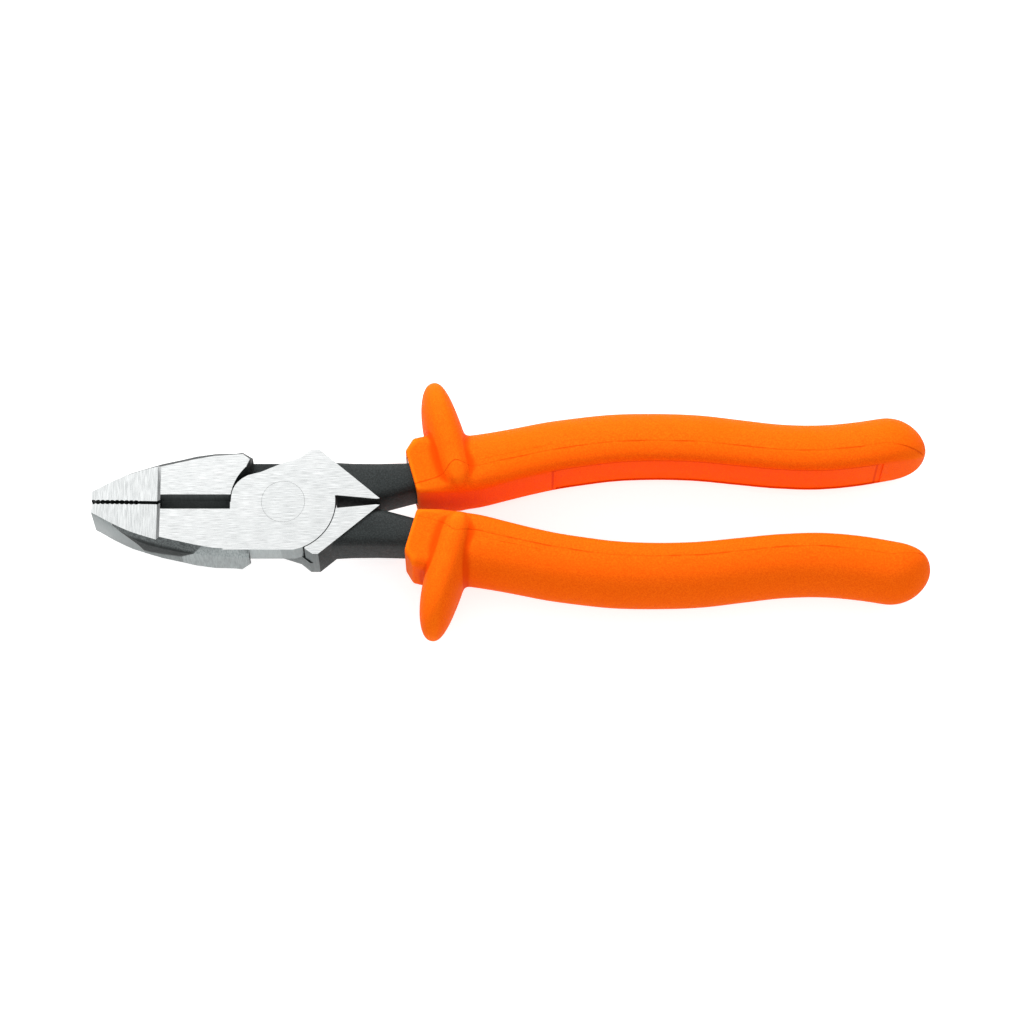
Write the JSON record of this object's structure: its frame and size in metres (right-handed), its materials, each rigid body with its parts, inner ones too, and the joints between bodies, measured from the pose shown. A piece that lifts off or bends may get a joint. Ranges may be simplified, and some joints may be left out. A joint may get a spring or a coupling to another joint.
{
  "type": "insulated lineman pliers",
  "caption": "Insulated side-cutting lineman pliers with serrated blunt nose, cutting knives, flush rivet joint and moulded grips with finger guards.",
  "frame": {"origin": "on the pivot axis, at the ground face of the head that lies downward", "axes": "-X towards the nose, +X towards the handles, Y across the handles, +Z along the pivot axis through the head's thickness"},
  "size_m": [0.2409, 0.078, 0.0272],
  "materials": {
    "forged_steel": "ground bright on the head, black oxide on the tangs and in the recesses",
    "rivet_steel": "ground flush",
    "inner_insulation": "moulded, matt",
    "outer_insulation": "moulded with a fine satin grain"
  },
  "bodies": {
    "upper_jaw_half": {"upper_jaw_forging": "forged_steel", "pivot_rivet": "rivet_steel", "lower_inner_sleeve": "inner_insulation", "lower_grip": "outer_insulation"},
    "lower_jaw_half": {"lower_jaw_forging": "forged_steel", "upper_inner_sleeve": "inner_insulation", "upper_grip": "outer_insulation"}
  },
  "joints": [
    {"name": "pivot", "type": "hinge", "parent": "upper_jaw_half", "child": "lower_jaw_half", "pos_m": [0, 0, 0.008], "axis": [0, 0, 1], "range_deg": [0, 36]}
  ]
}
